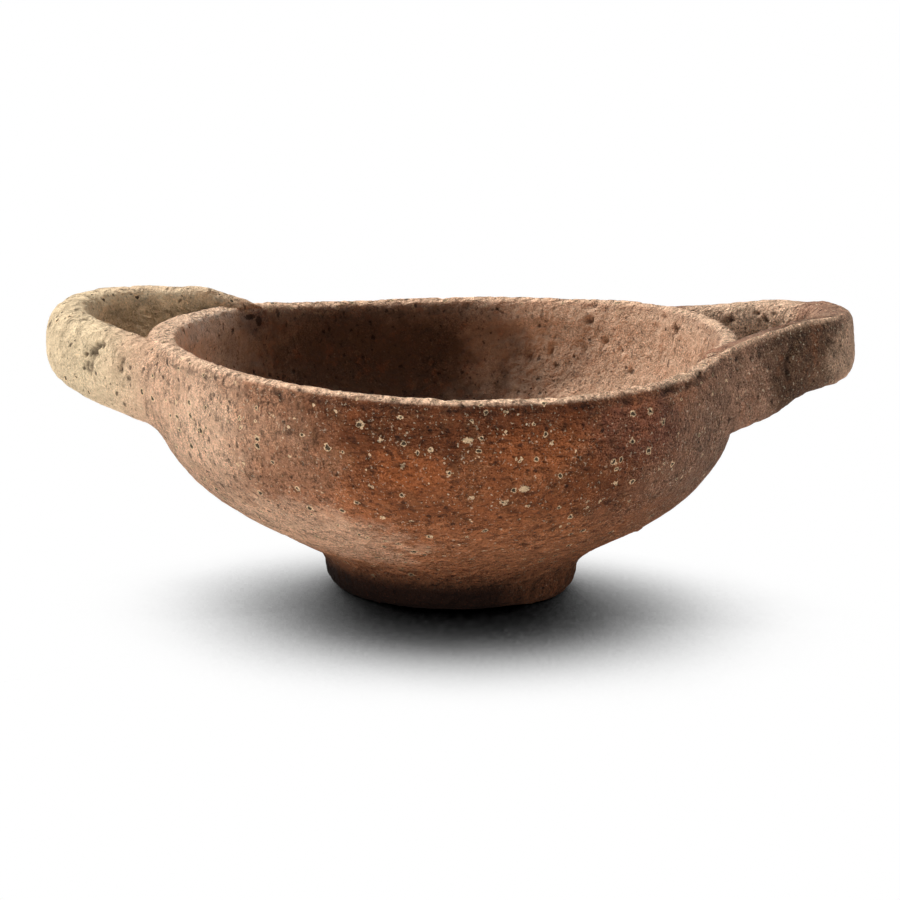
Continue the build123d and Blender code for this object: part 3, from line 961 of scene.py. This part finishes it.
# Pale specks, dark pores, gouges where the clay was smoothed, lime rings, and the flecks placed one by one
def spotted(clay, at, look, height):
    speck = scattered(at, "speck", at.crowd) * (1 - at.inside * claySpots["speck"]["inside"])
    clay = clay.towards(tone["speck"], speck * claySpots["speck"]["share"])
    pore = scattered(at, "pore", at.patchy) * claySpots["pore"]["share"]
    gouge = scattered(at, "gouge", at.patchy) * at.smoothed * claySpots["gouge"]["share"]
    worn = pore.atLeast(gouge)
    clay = clay.towards(tone["hole"], worn)
    far, luck, size = at.ruffled.grains(clayLime["spacing"], seed=clayLime["seed"])
    uneven = (at.noise("uneven") - 0.5) * clayLime["uneven"]
    apart = far / (size * clayLime["grow"] + clayLime["least"]) + uneven
    chosen = (luck - at.crowd * clayLime["gather"]).ramp(look["rings"], look["rings"] - clayLime["sharp"])
    chosen = chosen * (1 - at.inside * clayLime["inside"])
    ring = apart.ramp(*clayLime["ring"]["ends"]) * chosen
    hole = apart.ramp(*clayLime["hole"]["ends"]) * chosen * size.ramp(*clayLime["smallest"])
    clay = clay.towards(tone["ring"], ring * clayLime["ring"]["share"])
    clay = clay.towards(tone["hole"], hole * clayLime["hole"]["share"])
    for name, middle, reach in look["flecks"]:
        clay = clay.towards(tone[name], at.spot.cloud(middle, reach, fleckForm["full"]) * fleckForm["share"])
    height = height + ring * clayLime["ring"]["height"] + hole * clayLime["hole"]["height"] - worn * wornDepth
    return clay, height


# Gritty earthenware: the fired colour, its grain, pits and spots, darker in the hollows, painted shade low on
# the foot, and a bump of the layers' heights
def fireClay(name, look):
    material = bpy.data.materials.new(name)
    material.use_nodes = True
    material.node_tree.nodes.clear()
    at = clayPlaces(material.node_tree)
    clay, height = roughGrain(firedColour(at, look), at, look)
    clay, height = spotted(clay, at, look, height)
    clay = clay.towards(tone["nearBlack"], toneShare("hollow", at.hollow))
    # Painted shade low on the foot, less to the right
    footShade = toneSpread["foot"]
    lighter = at.x.ramp(*footShade["right"]) * footShade["share"]
    clay = clay.towards(tone["nearBlack"], at.z.ramp(*footShade["ends"]) * (footShade["most"] - lighter))
    height = height - at.edge * at.chafed.ramp(*toneSpread["edge"]["cut"]) * toneSpread["edge"]["depth"]
    bump = at.start.node("ShaderNodeBump", {}, {"Strength": 1.0, "Distance": mm, "Height": height})
    body = {"Base Color": clay, "Roughness": 0.9, "Specular IOR Level": 0.25, "Normal": bump}
    surface = at.start.node("ShaderNodeBsdfPrincipled", {}, body)
    surface.node("ShaderNodeOutputMaterial", {}, {"Surface": surface}, None)
    return material


# Clouds that a handle shares with the luting at its roots, by tone, share, middle and half sizes in mm: on
# the left, painted shade on the far arm's inner face and at its root; on the right, painted shade with a
# darker tone on the near arm, and paler clay on the far arm
leftClouds = [("shadeAndDarkTone", 0.45, (-82, 31, 56), (28, 12, 11)), ("nearBlack", 0.5, (-66, 37, 57), (13, 10, 9))]
# Right: painted shade with a darker tone on the near arm
rightClouds = [("shadeAndDarkTone", 0.8, (86, -9, 60), (28, 20, 20)), ("inner", 0.9, (78, 36, 64), (28, 16, 13))]

# Finish of each piece: its clouds, some of fire and some painted shade, its painted shadow inside likewise,
# and flecks by tone, middle and half sizes
finishes = {
    "bowlClay": {
        "grain": 1.0, "streak": 1.0, "pitted": 0.05, "rings": 0.46, "value": 1.1, "cream": 0.15,
        "clouds": [
            # The first cloud, darker brown under the near lip, is painted shade on the upper front wall
            ("stainAndShade", 0.75, (4, -76, 59), (64, 22, 15)), ("rust", 0.6, (44, -60, 52), (20, 20, 12)),
            ("orange", 0.5, (-10, -74, 45), (11, 11, 7)), ("orange", 0.35, (22, -72, 50), (26, 12, 8)),
            ("rust", 0.7, (-54, 46, 58.5), (8, 7, 4)), ("blush", 0.6, (-34, -48, 22), (34, 34, 17)),
            # The pale grey cloud inside on the left is painted light
            ("paintedLightGrey", 0.85, (-60, 24, 54), (20, 36, 18)), ("blush", 0.6, (-56, -46, 50), (18, 18, 18)),
            ("stainAndShade", 0.4, (34, -62, 42), (20, 20, 13)),
        ],
        # Inside: the near-black clouds on the far wall are painted shadow of the rim
        "insideShade": [("nearBlack", 0.5, (-32, 62, 48), (80, 48, 46)), ("nearBlack", 0.8, (-22, 60, 40), (54, 46, 42))],
        "flecks": [
            ("hole", (-55.2, 46.0, 59.8), (2.8, 2.4, 0.8)), ("hole", (-52.6, 48.0, 58.4), (1.1, 1.2, 1.6)),
            ("ring", (3.1, -74, 52.5), (2.0, 3, 1.0)), ("ring", (16.5, -71, 40.3), (1.3, 3, 0.9)),
        ],
        "pieces": [cupBowl],
    },
    "footClay": {
        "grain": 0.8, "streak": 0.6, "pitted": 0.0, "rings": 0.1, "value": 0.9, "cream": 0.0,
        "clouds": [], "insideShade": [], "flecks": [], "pieces": [ringFoot],
    },
    "lutingClay": {
        "grain": 1.0, "streak": 1.0, "pitted": 0.04, "rings": 0.25, "value": 1.1, "cream": 0.8,
        "clouds": leftClouds + rightClouds, "insideShade": [], "flecks": [], "pieces": [footCove] + rootLutings,
    },
    "leftHandleClay": {
        "grain": 0.65, "streak": 0.3, "pitted": 0.0, "rings": 0.1, "value": 1.0, "cream": 0.92,
        "clouds": leftClouds, "insideShade": [], "flecks": [], "pieces": [straps["left"]],
    },
    "rightHandleClay": {
        "grain": 0.9, "streak": 0.6, "pitted": 0.05, "rings": -0.5, "value": 1.2, "cream": 0.0,
        "clouds": rightClouds + [("blush", 0.45, (106, 8, 58), (24, 26, 20))],
        "insideShade": [], "flecks": [], "pieces": [straps["right"]],
    },
}
for name, look in finishes.items():
    clay = fireClay(name, look)
    for piece in look["pieces"]:
        piece.data.materials.append(clay)
print("clay fired")

# Studio: camera as in the photo, angles in degrees, a soft key light from the left and a little behind, and a
# floor that is white to the camera
studio = {
    "lens": 126.2, "distance": 0.8, "aim": (0.0, 0.0, 0.030), "elevation": 12.12, "roll": 1.07,
    "pitch": 0.30, "yaw": 0.064,
    # Lamps: bearing, elevation and width of the disc in degrees, and strength
    "lamps": {"keyLight": (158.0, 46.0, 20.0, 3.45), "backLight": (80.0, 62.0, 40.0, 1.5)},
    # Lit card before the cup, low, so that the bowl's inside keeps its shade: place and size in m, and watts
    "card": {"place": (-0.12, -0.69, 0.06), "size": (0.8, 0.1), "watts": 1.62},
    "ambient": 0.1, "floorGrey": 0.9, "floorHalf": 6,
    # Painted shadow on the floor, from ambient occlusion and not from a lamp: the bearing and elevation that
    # the occlusion leans towards, as if from a wide light, its reach in metres, and the shares of it at which
    # the paper is black and white
    "shadowFrom": (98.0, 38.0), "shadowReach": 0.095, "shadowRamp": (0.3, 0.7), "shadowSamples": 24,
}


# Camera frame: looks at the aim point from its elevation, then turns a little up and left, then rolls
def makeCamera():
    e = math.radians(studio["elevation"])
    place = np.array(studio["aim"]) + studio["distance"] * np.array([0.0, -math.cos(e), math.sin(e)])
    e -= math.radians(studio["pitch"])
    a = math.radians(-studio["yaw"])
    forward = np.array([math.sin(a) * math.cos(e), math.cos(a) * math.cos(e), -math.sin(e)])
    level = np.cross(forward, [0.0, 0.0, 1.0])
    level /= np.linalg.norm(level)
    upright = np.cross(level, forward)
    roll = math.radians(studio["roll"])
    right = math.cos(roll) * level + math.sin(roll) * upright
    up = math.cos(roll) * upright - math.sin(roll) * level
    data = bpy.data.cameras.new("photoCamera")
    data.lens = studio["lens"]
    camera = bpy.data.objects.new("photoCamera", data)
    pose = np.vstack([np.stack([right, up, -forward, place], axis=1), [0, 0, 0, 1]])
    camera.matrix_world = Matrix(pose.tolist())
    bpy.context.collection.objects.link(camera)
    bpy.context.scene.camera = camera


# Unit vector towards a bearing and an elevation in degrees
def skyward(bearing, elevation):
    b, e = math.radians(bearing), math.radians(elevation)
    return Vector((math.cos(b) * math.cos(e), math.sin(b) * math.cos(e), math.sin(e)))


# Lamps: suns with wide discs, so that their shadows are soft and the floor is lit evenly
def makeLamp(name, bearing, elevation, width, strength):
    data = bpy.data.lights.new(name, "SUN")
    data.energy = strength
    data.angle = math.radians(width)
    lamp = bpy.data.objects.new(name, data)
    lamp.location = skyward(bearing, elevation)
    lamp.rotation_euler = skyward(bearing, elevation).to_track_quat("Z", "Y").to_euler()
    bpy.context.collection.objects.link(lamp)


# Card: an upright oblong area lamp that faces the cup
def makeCard():
    data = bpy.data.lights.new("frontCard", "AREA")
    data.shape = "RECTANGLE"
    data.size, data.size_y = studio["card"]["size"]
    data.energy = studio["card"]["watts"]
    card = bpy.data.objects.new("frontCard", data)
    card.location = studio["card"]["place"]
    away = Vector((card.location.x, card.location.y, 0.0))
    card.rotation_euler = away.to_track_quat("Z", "Y").to_euler()
    bpy.context.collection.objects.link(card)


# Floor: pale to the cup, and to the camera a glowing white paper with the cup's soft shadow painted on it by
# ambient occlusion that leans towards a high wide light
def makeFloor():
    mesh = bpy.data.meshes.new("studioFloor")
    half = studio["floorHalf"]
    corners = [(-half, -half, 0), (half, -half, 0), (half, half, 0), (-half, half, 0)]
    mesh.from_pydata(corners, [], [(0, 1, 2, 3)])
    floor = bpy.data.objects.new("studioFloor", mesh)
    bpy.context.collection.objects.link(floor)
    material = bpy.data.materials.new("floorPaper")
    material.use_nodes = True
    material.node_tree.nodes.clear()
    start = Wire(material.node_tree)
    seen = start.node("ShaderNodeLightPath", {}, {}, "Is Camera Ray")
    rays = seen.socket.node.outputs
    seen = seen + Wire(seen.tree, rays["Is Glossy Ray"]) + Wire(seen.tree, rays["Is Transmission Ray"])
    # Painted shadow: occlusion that leans towards the wide light darkens the glow the camera sees
    lean = start.node("ShaderNodeCombineXYZ", {}, dict(enumerate(skyward(*studio["shadowFrom"]))))
    reach = {"Distance": studio["shadowReach"], "Normal": lean}
    light = start.node("ShaderNodeAmbientOcclusion", {"samples": studio["shadowSamples"]}, reach, "AO")
    light = light.ramp(*studio["shadowRamp"])
    dull = studio["floorGrey"]
    paper = start.node("ShaderNodeBsdfDiffuse", {}, {"Color": (dull, dull, dull, 1)})
    black = {"Base Color": (0, 0, 0, 1), "Specular IOR Level": 0.0}
    white = {"Emission Color": light, "Emission Strength": 1.0}
    shown = start.node("ShaderNodeBsdfPrincipled", {}, {**black, **white})
    surface = start.node("ShaderNodeMixShader", {}, {0: seen, 1: paper, 2: shown})
    surface.node("ShaderNodeOutputMaterial", {}, {"Surface": surface}, None)
    mesh.materials.append(material)


makeCamera()
for name, lamp in studio["lamps"].items():
    makeLamp(name, *lamp)
makeCard()
makeFloor()
world = bpy.data.worlds.new("studioWorld")
world.use_nodes = True
world.node_tree.nodes["Background"].inputs["Color"].default_value = (1, 1, 1, 1)
world.node_tree.nodes["Background"].inputs["Strength"].default_value = studio["ambient"]
bpy.context.scene.world = world
bpy.context.scene.view_settings.view_transform = "Standard"
print("studio lit")
